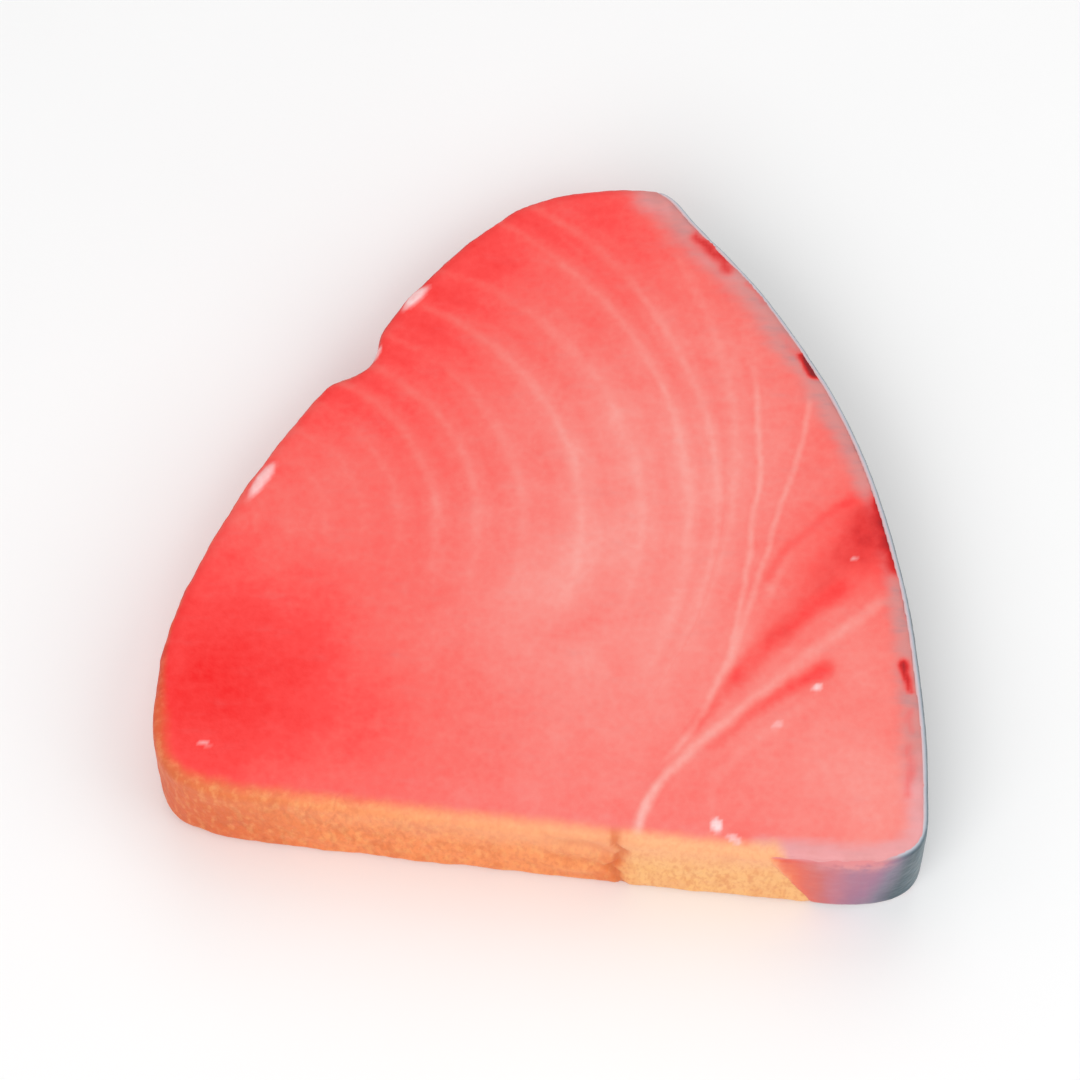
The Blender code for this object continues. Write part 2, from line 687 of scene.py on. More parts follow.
def beside(start: Array, end: Array, x: Array, y: Array) -> tuple[Array, Array, Array]:
    """Where places lie beside a straight stretch.

    Args:
        start: Where the stretch starts.
        end: Where it ends.
        x: Places across the steak.
        y: Places along it.

    Returns:
        The share of the stretch passed at its nearest place, the distance from it, and a
        value that is above 0 on its left.
    """
    step = end - start
    right = x - start[0]
    up = y - start[1]
    held = np.clip((right * step[0] + up * step[1]) / float(step @ step), 0.0, 1.0)
    gap = np.hypot(right - held * step[0], up - held * step[1])
    return held, gap, step[0] * up - step[1] * right


def line_field(places: Sequence[Place], x: Array, y: Array) -> tuple[Array, Array]:
    """Signed distance from a smooth line, and the share of it passed at the nearest place.

    Args:
        places: Places that the line passes through.
        x: Places across the steak.
        y: Places along it.

    Returns:
        The distance, above 0 on the line's left, and the share from 0 to 1.
    """
    points = smooth_line(places)
    best = np.full(len(x), np.inf)
    side = np.ones(len(x))
    share = np.zeros(len(x))
    stretches = len(points) - 1
    for index, (start, end) in enumerate(zip(points, points[1:])):
        held, gap, cross = beside(start, end, x, y)
        closer = gap < best
        best = np.where(closer, gap, best)
        side = np.where(closer, np.sign(cross), side)
        share = np.where(closer, (index + held) / stretches, share)
    return best * side, share


def turned(x: Array, y: Array, heading: float) -> tuple[Array, Array]:
    """Measure offsets along a heading and across it.

    Args:
        x: Offsets across the steak.
        y: Offsets along it.
        heading: The heading, in degrees from +X.

    Returns:
        The offsets along the heading and across it.
    """
    turn = math.radians(heading)
    return x * math.cos(turn) + y * math.sin(turn), y * math.cos(turn) - x * math.sin(turn)


@dataclass(frozen=True)
class MusclePattern:
    """Where the muscle's lines, marks and tones lie on a cut across the loin.

    Attributes:
        flakes: The pale arcs, from the innermost outwards.
        heart: The place that an arc's bearings are measured from.
        fading: Bearings, in degrees, between which the arcs come up.
        faint: How clearly an arc shows before that.
        least_spacing: The least distance between two arcs.
        septa: The connective lines.
        line_start: Shares of a line between which it comes up.
        line_end: Shares of it between which it fades out.
        marks: The blood marks.
        patches: The patches of paler or redder flesh.
        base_tone: How pale the flesh is away from them.
        scraps: The scraps of membrane.
        scrap_edge: Shares of a scrap's half size between which its edge rises.
    """

    flakes: tuple[Flake, ...] = FLAKES
    heart: Place = (-42.0, -4.0)
    fading: Range = (-40.0, 20.0)
    faint: float = 0.06
    least_spacing: float = 1.0
    septa: tuple[Septum, ...] = SEPTA
    line_start: Range = (-0.01, 0.12)
    line_end: Range = (1.01, 0.90)
    marks: tuple[BloodMark, ...] = BLOOD_MARKS
    patches: tuple[TonePatch, ...] = TONE_PATCHES
    base_tone: float = 0.27
    scraps: tuple[Scrap, ...] = SCRAPS
    scrap_edge: Range = (1.25, 0.55)

    def flake_field(self, x: Array, y: Array) -> tuple[Array, Array, Array]:
        """How far through the family of arcs each place is.

        Args:
            x: Places across the steak.
            y: Places along it.

        Returns:
            The phase, whole at an arc, the distance between arcs there, and how clearly
            an arc shows there.
        """
        beyond = np.stack([
            np.hypot(x - flake.right + flake.radius, y - flake.level) - flake.radius
            for flake in self.flakes
        ])
        beyond = np.minimum.accumulate(beyond, axis=0)
        below = np.clip((beyond > 0.0).sum(axis=0) - 1, 0, len(self.flakes) - 2)
        columns = np.arange(len(x))
        near = beyond[below, columns]
        far = beyond[below + 1, columns]
        spacing = np.maximum(near - far, self.least_spacing)
        phase = below + near / spacing
        strengths = [flake.strength for flake in self.flakes]
        strength = np.interp(np.round(phase), range(len(strengths)), strengths)
        bearing = np.degrees(np.arctan2(y - self.heart[1], x - self.heart[0]))
        shown = self.faint + (1.0 - self.faint) * smoothstep(*self.fading, bearing)
        return phase, spacing, strength * shown

    def septum_field(self, septum: Septum, x: Array, y: Array) -> tuple[Array, Array]:
        """Signed distance from a septum, and how much it changes the tone there.

        Args:
            septum: The line.
            x: Places across the steak.
            y: Places along it.

        Returns:
            The distance, above 0 on the line's left, and the change of tone.
        """
        distance, share = line_field(septum.places, x, y)
        change = septum.start + (septum.end - septum.start) * share
        ends = smoothstep(*self.line_start, share) * smoothstep(*self.line_end, share)
        return distance, change * ends

    def blood_field(self, x: Array, y: Array) -> Array:
        """How blood-stained each place is.

        Args:
            x: Places across the steak.
            y: Places along it.

        Returns:
            The stain, from 0 to about 1.
        """
        total = np.zeros(len(x))
        for mark in self.marks:
            along, gap, _ = beside(np.array(mark.start), np.array(mark.end), x, y)
            radius = mark.start_radius + (mark.end_radius - mark.start_radius) * along
            strength = mark.start_strength + (mark.end_strength - mark.start_strength) * along
            stain = strength * np.exp(-((gap / radius) ** 2))
            total = 1.0 - (1.0 - total) * (1.0 - stain)
        return total

    def tone_field(self, x: Array, y: Array) -> Array:
        """How pale the flesh is at each place.

        Args:
            x: Places across the steak.
            y: Places along it.

        Returns:
            The tone, which is 0 for deep red and rises as the flesh gets paler.
        """
        total = np.full(len(x), self.base_tone)
        for patch in self.patches:
            along, across = turned(x - patch.x, y - patch.y, patch.heading)
            away = (along / patch.length) ** 2 + (across / patch.width) ** 2
            total += patch.amount * np.exp(-0.5 * away)
        return total

    def scrap_field(self, x: Array, y: Array) -> tuple[Array, Array]:
        """The scraps of membrane.

        Args:
            x: Places across the steak.
            y: Places along it.

        Returns:
            How white each place is, from 0 to 1, and how far it stands out.
        """
        white = np.zeros(len(x))
        height = np.zeros(len(x))
        for scrap in self.scraps:
            along, across = turned(x - scrap.x, y - scrap.y, scrap.heading)
            away = np.hypot(along / scrap.length, across / scrap.width) * 2.0
            there = smoothstep(*self.scrap_edge, away)
            white = np.maximum(white, scrap.white * there)
            height = np.maximum(height, scrap.height * there)
        return white, height


# ---------------------------------------------------------------------------------------
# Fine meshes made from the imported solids
# ---------------------------------------------------------------------------------------

def welded_copy(node: bpy.types.Object) -> bmesh.types.BMesh:
    """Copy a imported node's mesh and join its loose triangles.

    Args:
        node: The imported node.

    Returns:
        The joined copy.
    """
    mesh = bmesh.new()
    mesh.from_mesh(node.data)
    bmesh.ops.remove_doubles(mesh, verts=mesh.verts, dist=WELD)
    return mesh


def place_object(name: str, mesh: bmesh.types.BMesh) -> bpy.types.Object:
    """Put a finished bmesh in the scene as an object at the origin.

    Args:
        name: The object's name.
        mesh: The bmesh, which is freed.

    Returns:
        The object.
    """
    data = bpy.data.meshes.new(name)
    mesh.to_mesh(data)
    mesh.free()
    made = bpy.data.objects.new(name, data)
    bpy.context.scene.collection.objects.link(made)
    return made


def remesh(source: bpy.types.Object, voxel: float) -> None:
    """Give an object an even mesh of small squares over the same form.

    Args:
        source: The object.
        voxel: The squares' size, in millimetres.
    """
    modifier = source.modifiers.new("even mesh", "REMESH")
    modifier.mode = "VOXEL"
    modifier.voxel_size = voxel * MM
    modifier.use_smooth_shade = True
    bpy.context.view_layer.update()
    depsgraph = bpy.context.evaluated_depsgraph_get()
    even = bpy.data.meshes.new_from_object(source.evaluated_get(depsgraph))
    source.modifiers.clear()
    old = source.data
    source.data = even
    bpy.data.meshes.remove(old)
    even.name = source.name


def relax(obj: bpy.types.Object, rounds: int, factor: float) -> None:
    """Smooth an object's mesh a little.

    Args:
        obj: The object.
        rounds: How many times each point moves.
        factor: How far it moves towards its neighbours' middle.
    """
    mesh = bmesh.new()
    mesh.from_mesh(obj.data)
    for _ in range(rounds):
        bmesh.ops.smooth_vert(mesh, verts=mesh.verts, factor=factor, use_axis_x=True,
                              use_axis_y=True, use_axis_z=True)
    mesh.to_mesh(obj.data)
    mesh.free()


def places_of(obj: bpy.types.Object) -> Array:
    """Read where an object's points are.

    Args:
        obj: The object.

    Returns:
        The points as rows of x, y and z, in millimetres.
    """
    places = np.empty(len(obj.data.vertices) * 3)
    obj.data.vertices.foreach_get("co", places)
    return places.reshape(-1, 3) / MM


def normals_of(obj: bpy.types.Object) -> Array:
    """Read which way an object's points face.

    Args:
        obj: The object.

    Returns:
        The points' normals as rows of x, y and z.
    """
    normals = np.empty(len(obj.data.vertices) * 3)
    obj.data.vertices.foreach_get("normal", normals)
    return normals.reshape(-1, 3)


def raise_points(obj: bpy.types.Object, places: Array, normals: Array, lift: Array) -> None:
    """Move an object's points out along their normals, but none below the ground.

    Args:
        obj: The object.
        places: Where its points are, in millimetres.
        normals: Their normals.
        lift: How far each one moves, in millimetres.
    """
    moved = places + normals * lift[:, None]
    moved[:, 2] = np.maximum(moved[:, 2], 0.0)
    obj.data.vertices.foreach_set("co", (moved * MM).ravel())
    obj.data.update()


def keep_field(obj: bpy.types.Object, name: str, *columns: Array) -> None:
    """Store up to three values a point as a vector attribute.

    Args:
        obj: The object.
        name: The attribute's name.
        columns: The values, one array for each.
    """
    values = np.zeros((len(obj.data.vertices), 3))
    for index, column in enumerate(columns):
        values[:, index] = column
    attribute = obj.data.attributes.new(name, "FLOAT_VECTOR", "POINT")
    attribute.data.foreach_set("vector", values.ravel())


def distances(places: Array, tree: BVHTree) -> Array:
    """How far each place is from a surface, in millimetres."""
    return np.array([tree.find_nearest(Vector(place) * MM)[3] / MM for place in places])


def surface_of(node: bpy.types.Object) -> BVHTree:
    """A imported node's surface, for measuring distances from it.

    Args:
        node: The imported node.

    Returns:
        The surface.
    """
    mesh = welded_copy(node)
    tree = BVHTree.FromBMesh(mesh)
    mesh.free()
    return tree


# ---------------------------------------------------------------------------------------
# Finishes
# ---------------------------------------------------------------------------------------

@dataclass(frozen=True)
class CutMuscle:
    """The grain of cut muscle, from soft clouds to single bundles of fibres.

    Attributes:
        mottles: Its mottles, and over what span each one moves the tone.
        bundle: How wide a bundle is, in millimetres.
        upright: Scales that draw the bundles out through the thickness.
        edge_tone: How much paler a bundle is at its edge than in its middle.
        middle_tone: How much redder it is in its middle than the flesh around it.
    """

    mottles: tuple[tuple[Mottle, float], ...] = (
        (Mottle(16.0, warp=0.6), 0.30),
        (Mottle(5.0, stretch=(0.7, 1.3, 1.0), warp=0.8), 0.16),
        (Mottle(1.2, stretch=UPRIGHT), 0.14),
    )
    bundle: float = 1.7
    upright: Scales = (1.0, 1.0, 0.35)
    edge_tone: float = 0.08
    middle_tone: float = 0.03

    def over(self, graph: NodeGraph, tone: Socket) -> Socket:
        """Lay the grain over a tone.

        Args:
            graph: The material's graph.
            tone: How pale the flesh is.

        Returns:
            The tone with its grain.
        """
        for mottle, span in self.mottles:
            tone = graph.stirred(tone, mottle, span)
        bundles = graph.cells(self.bundle, self.upright)
        return graph.add(tone, graph.scaled(bundles, self.edge_tone, -self.middle_tone))


@dataclass(frozen=True)
class FlakeArcs:
    """The pale arcs between flakes of muscle.

    Attributes:
        sway: The mottle that sways them.
        sway_span: Over what share of the distance between two arcs it does.
        whole: Patches where an arc isn't worn thin.
        worn: What is left of an arc elsewhere.
        core: Half of the width of an arc's pale middle, in millimetres.
        core_tone: How much paler the middle is.
        band_tone: How much the broad bands change the tone.
        fine_tone: How much the fine bands between them do.
        fine_count: How many fine bands there are to a broad one.
        fine_shift: How far they are shifted, in radians.
    """

    sway: Mottle = Mottle(15.0, 2.0)
    sway_span: float = 0.30
    whole: Patches = Patches(Mottle(6.0), 0.25, 0.65)
    worn: float = 0.4
    core: float = 1.6
    core_tone: float = 0.105
    band_tone: float = 0.060
    fine_tone: float = 0.016
    fine_count: float = 3.0
    fine_shift: float = 0.8

    def over(self, graph: NodeGraph, tone: Socket) -> Socket:
        """Lay the arcs over a tone.

        Args:
            graph: The material's graph.
            tone: The tone below.

        Returns:
            The tone with the arcs.
        """
        phase, spacing, strength = graph.field("flake")
        swayed = graph.stirred(phase, self.sway, self.sway_span)
        offset = graph.math("SUBTRACT", graph.math("FRACT", graph.add(swayed, 0.5)), 0.5)
        away = graph.times(graph.math("ABSOLUTE", offset), spacing)
        whole = graph.patches(self.whole)
        core = graph.rise(away, self.core, 0.0, self.core_tone)
        core = graph.times(core, graph.scaled(whole, 1.0 - self.worn, self.worn))
        band = graph.math("COSINE", graph.scaled(swayed, TURN))
        fine = graph.math("COSINE", graph.scaled(swayed, TURN * self.fine_count, self.fine_shift))
        fine = graph.scaled(graph.times(fine, whole), self.fine_tone, core)
        line = graph.scaled(band, self.band_tone, fine)
        return graph.add(tone, graph.times(line, strength))


@dataclass(frozen=True)
class ConnectiveLines:
    """The lines of connective tissue between the muscles.

    Attributes:
        sway: The mottle that sways them.
        sway_span: Over how many millimetres it does.
        fray: The mottle that makes them weaker and stronger.
        weakest: How strong they are where it is 0.
        reach: How many of its half widths a line fades out over.
    """

    sway: Mottle = Mottle(7.0)
    sway_span: float = 2.0
    fray: Mottle = Mottle(3.0)
    weakest: float = 0.5
    reach: float = 2.1

    def over(self, graph: NodeGraph, tone: Socket) -> Socket:
        """Lay the lines over a tone.

        Args:
            graph: The material's graph.
            tone: The tone below.

        Returns:
            The tone with the lines.
        """
        sway = graph.centred(self.sway, self.sway_span)
        fray = graph.add(graph.noise(self.fray), self.weakest)
        for index, septum in enumerate(SEPTA):
            distance, change, _ = graph.field(f"septum_{index}")
            away = graph.math("ABSOLUTE", graph.add(distance, sway))
            core = graph.rise(away, septum.half_width * self.reach, 0.0)
            tone = graph.add(tone, graph.times(graph.times(core, fray), change))
        return tone


@dataclass(frozen=True)
class FattyBand:
    """The dull band of fat that lies under the skin.

    Attributes:
        dull: Its colour.
        lilac: Its colour where it is bluish.
        gristle: The grey of its flecks.
        fray: The mottle that frays the band.
        fray_span: Over what share of the band it does.
        cover: How much of the flesh's colour the band hides.
        drift: The mottle that shifts the two colours, over a span of 1.
        flecks: Where the flecks are.
    """

    dull: Colour = linear(212, 136, 132)
    lilac: Colour = linear(232, 160, 162)
    gristle: Colour = linear(164, 134, 138)
    fray: Mottle = Mottle(3.6, stretch=STREAKED)
    fray_span: float = 0.80
    cover: float = 0.95
    drift: Mottle = Mottle(5.0)
    flecks: Patches = Patches(Mottle(3.0, stretch=STREAKED), 0.40, 0.76, 0.55)

    def over(self, graph: NodeGraph, colour: Socket, fat: Socket, lilac: Socket) -> Socket:
        """Lay the band over a colour.

        Args:
            graph: The material's graph.
            colour: The colour below.
            fat: How much of the band there is.
            lilac: How bluish it is.

        Returns:
            The colour with the band.
        """
        share = graph.rise(graph.stirred(fat, self.fray, self.fray_span), 0.0, 1.0, self.cover)
        blue = graph.stirred(lilac, self.drift, 1.0)
        tint = graph.mix(graph.rise(blue, 0.0, 1.0), self.dull, self.lilac)
        flecks = graph.times(graph.patches(self.flecks), graph.opposite(lilac))
        return graph.mix(share, colour, graph.mix(flecks, tint, self.gristle))


@dataclass(frozen=True)
class BloodStain:
    """The blood marks.

    Attributes:
        reds: Stops from a light stain to a dark one.
        fray: The mottle that makes them weaker and stronger.
        fray_span: Over what span it does.
        weakest: How strong they are where it is 0.
        full: The stain that hides the flesh's colour.
    """

    reds: Stops = (
        (0.00, linear(248, 78, 72)),
        (0.30, linear(244, 54, 50)),
        (0.60, linear(220, 30, 30)),
        (0.85, linear(178, 16, 22)),
        (1.00, linear(136, 14, 26)),
    )
    fray: Mottle = Mottle(2.6)
    fray_span: float = 0.6
    weakest: float = 0.7
    full: float = 0.72

    def over(self, graph: NodeGraph, colour: Socket, blood: Socket) -> Socket:
        """Lay the marks over a colour.

        Args:
            graph: The material's graph.
            colour: The colour below.
            blood: How blood-stained the place is.

        Returns:
            The colour with the marks.
        """
        fray = graph.scaled(graph.noise(self.fray), self.fray_span, self.weakest)
        stain = graph.times(blood, fray)
        return graph.mix(graph.rise(stain, 0.0, self.full), colour, graph.ramp(stain, self.reds))


@dataclass(frozen=True)
class TrimmedSides:
    """The sides that were trimmed: orange tan in front and at the left, deep red behind.

    Bearings run round the outline as shares of a whole turn.

    Attributes:
        tints: Stops round the outline.
        drift: The mottle that shifts the tints.
        drift_span: Over what share of a turn it does.
        front: Bearings between which the front side's mottles take over.
        left: Bearings between which the left end's darker look comes up.
        brown: Dark mottles on the front side.
        straw: Light mottles on it.
        deep: Dark mottles on the back side.
        coral: Light mottles on it.
        clouds: Where broad dark mottles are.
        cloud_least: How much of them shows away from the left end.
        pale_fibres: Where the light mottles are.
        dark_fibres: Where fine dark mottles are.
        rim: A painted highlight, pale peach, on the front side up to the upper cut face.
        highlight_heights: Shares of the thickness between which the highlight comes up.
        highlight_share: How much of the painted highlight shows there.
        highlight_left: How much less of it shows at the left end.
        crease_shade_share: How much browner a crease is made, as painted shade.
        fray: The mottle that frays the sides' edges.
        fray_span: Over what span it does.
        edge: Values between which a side's colour comes up.
        back_cover: How much of the flesh's colour the back side hides.
    """

    tints: Stops = (
        (0.00, linear(222, 96, 88)),
        (0.20, linear(224, 86, 72)),
        (0.33, linear(186, 46, 44)),
        (0.39, linear(222, 92, 74)),
        (0.50, linear(228, 104, 66)),
        (0.57, linear(214, 88, 42)),
        (0.62, linear(226, 104, 46)),
        (0.66, linear(248, 142, 78)),
        (0.77, linear(250, 154, 90)),
        (0.781, linear(236, 126, 62)),
        (0.792, linear(251, 192, 124)),
        (1.00, linear(251, 190, 126)),
    )
    drift: Mottle = Mottle(5.0)
    drift_span: float = 0.012
    front: Range = (0.54, 0.62)
    left: Range = (0.78, 0.60)
    brown: Colour = linear(214, 100, 44)
    straw: Colour = linear(255, 196, 122)
    deep: Colour = linear(184, 36, 36)
    coral: Colour = linear(244, 136, 120)
    clouds: Patches = Patches(Mottle(3.0, 4.0, UPRIGHT, 0.8), 0.46, 0.68, 0.70)
    cloud_least: float = 0.30
    pale_fibres: Patches = Patches(Mottle(1.5, stretch=UPRIGHT), 0.44, 0.74, 0.32)
    dark_fibres: Patches = Patches(Mottle(0.8, 2.0, UPRIGHT), 0.42, 0.70, 0.32)
    rim: Colour = linear(252, 176, 132)
    highlight_heights: Range = (0.45, 1.0)
    highlight_share: float = 0.65
    highlight_left: float = 0.55
    crease_shade_share: float = 0.60
    fray: Mottle = Mottle(3.4, 4.0)
    fray_span: float = 0.50
    edge: Range = (0.05, 1.05)
    back_cover: float = 0.62

    def over(self, graph: NodeGraph, colour: Socket, side: Socket, bearing: Socket,
             height: Socket, crease_shade: Socket) -> Socket:
        """Lay the sides' own colours over a colour.

        Args:
            graph: The material's graph.
            colour: The colour of the cut faces.
            side: 0 on the cut faces and 1 on the sides.
            bearing: Place round the outline, from 0 to 1.
            height: Place through the thickness, from 0 to 1.
            crease_shade: How deep in a crease the place is, from 0 to 1, for painted shade.

        Returns:
            The colour of the whole body.
        """
        front = graph.rise(bearing, *self.front)
        left = graph.rise(bearing, *self.left)
        dark = graph.mix(front, self.deep, self.brown)
        light = graph.mix(front, self.coral, self.straw)
        tint = graph.ramp(graph.stirred(bearing, self.drift, self.drift_span), self.tints)
        clouds = graph.scaled(left, 1.0 - self.cloud_least, self.cloud_least)
        clouds = graph.times(graph.patches(self.clouds), clouds)
        tint = graph.mix(clouds, tint, dark)
        tint = graph.mix(graph.patches(self.pale_fibres), tint, light)
        tint = graph.mix(graph.patches(self.dark_fibres), tint, dark)
        # Painted highlight: the upper part of the front side is lightened towards pale peach, less
        # at the left end.
        top_highlight = graph.times(front, graph.rise(height, *self.highlight_heights))
        top_highlight = graph.times(top_highlight, graph.scaled(left, -self.highlight_left, self.highlight_share))
        tint = graph.mix(top_highlight, tint, self.rim)
        # Painted shade: the front side's crack and folds are browned by how deep they are.
        tint = graph.mix(graph.scaled(crease_shade, self.crease_shade_share), tint, self.brown)
        share = graph.rise(graph.stirred(side, self.fray, self.fray_span), *self.edge)
        cover = graph.scaled(front, 1.0 - self.back_cover, self.back_cover)
        return graph.mix(graph.times(share, cover), colour, tint)


@dataclass(frozen=True)
class MembraneScraps:
    """The white scraps of membrane.

    Attributes:
        white: Their colour.
        fray: The mottle that makes them thinner and thicker.
        fray_span: Over what span it does.
        thinnest: How much of them shows where it is 0.
    """

    white: Colour = linear(250, 214, 214)
    fray: Mottle = Mottle(1.4)
    fray_span: float = 0.7
    thinnest: float = 0.65

    def over(self, graph: NodeGraph, colour: Socket, white: Socket) -> Socket:
        """Lay the scraps over a colour.

        Args:
            graph: The material's graph.
            colour: The colour below.
            white: How white the place is.

        Returns:
            The colour with the scraps.
        """
        fray = graph.scaled(graph.noise(self.fray), self.fray_span, self.thinnest)
        return graph.mix(graph.times(white, fray), colour, self.white)


@dataclass(frozen=True)
class FleshFinish:
    """Moist raw flesh, with a layer for each thing that changes its colour.

    Attributes:
        palest: The palest tone that the reds cover.
        reds: Stops from deep red to pale, as a share of the palest tone.
        muscle: The cut muscle's grain.
        arcs: The pale arcs.
        lines: The connective lines.
        band: The fatty band.
        stain: The blood marks.
        sides: The trimmed sides.
        scraps: The scraps of membrane.
        damp: The mottle of wetter and drier places.
        wettest: Roughness of the cut faces where they are wettest.
        damp_span: How much rougher they are where they are driest.
        side_dryness: How much rougher the sides are.
        gloss: Specular level.
        bundles: The relief of fine bundles, all over.
        bundle_share: How deep it is, as a share of the fibres.
        fibres: The relief of fibres, on the sides.
        fibre_depth: How deep it is, in millimetres.
    """

    palest: float = 1.5
    reds: Stops = (
        (0.00, linear(242, 20, 20)),
        (0.20, linear(249, 67, 64)),
        (0.40, linear(245, 105, 97)),
        (0.60, linear(244, 138, 129)),
        (0.80, linear(245, 166, 157)),
        (1.00, linear(248, 190, 184)),
    )
    muscle: CutMuscle = CutMuscle()
    arcs: FlakeArcs = FlakeArcs()
    lines: ConnectiveLines = ConnectiveLines()
    band: FattyBand = FattyBand()
    stain: BloodStain = BloodStain()
    sides: TrimmedSides = TrimmedSides()
    scraps: MembraneScraps = MembraneScraps()
    damp: Mottle = Mottle(4.0)
    wettest: float = 0.28
    damp_span: float = 0.24
    side_dryness: float = 0.14
    gloss: float = 0.30
    bundles: Mottle = Mottle(1.2, 2.0, UPRIGHT)
    bundle_share: float = 0.3
    fibres: Mottle = Mottle(1.3, stretch=UPRIGHT)
    fibre_depth: float = 0.24

    def material(self) -> bpy.types.Material:
        """Build the flesh's material.

        Returns:
            The material.
        """
        graph = NodeGraph("raw flesh")
        pale, blood, fat = graph.field("tone")
        side, bearing, height = graph.field("side")
        # The edge field's third value is painted shade for the front side's creases.
        white, lilac, crease_shade = graph.field("edge")
        tone = self.muscle.over(graph, pale)
        tone = self.arcs.over(graph, tone)
        tone = self.lines.over(graph, tone)
        colour = graph.ramp(graph.scaled(tone, 1.0 / self.palest), self.reds)
        colour = self.band.over(graph, colour, fat, lilac)
        colour = self.stain.over(graph, colour, blood)
        colour = self.sides.over(graph, colour, side, bearing, height, crease_shade)
        colour = self.scraps.over(graph, colour, white)
        graph.feed(graph.shader.inputs["Base Color"], colour)
        graph.feed(graph.shader.inputs["Roughness"], self.dryness(graph, side))
        graph.feed(graph.shader.inputs["Normal"], self.fine_relief(graph, side))
        graph.shader.inputs["Specular IOR Level"].default_value = self.gloss
        return graph.material

    def dryness(self, graph: NodeGraph, side: Socket) -> Socket:
        """Roughness that changes a little from place to place."""
        uneven = graph.scaled(graph.noise(self.damp), self.damp_span, self.wettest)
        return graph.scaled(side, self.side_dryness, uneven)

    def fine_relief(self, graph: NodeGraph, side: Socket) -> Socket:
        """Fine bundles all over, and fibres on the sides.

        Args:
            graph: The material's graph.
            side: 0 on the cut faces and 1 on the sides.

        Returns:
            The bumped normal.
        """
        bundles = graph.scaled(graph.noise(self.bundles), self.bundle_share)
        fibres = graph.times(graph.noise(self.fibres), side)
        return graph.bump(graph.add(fibres, bundles), self.fibre_depth)


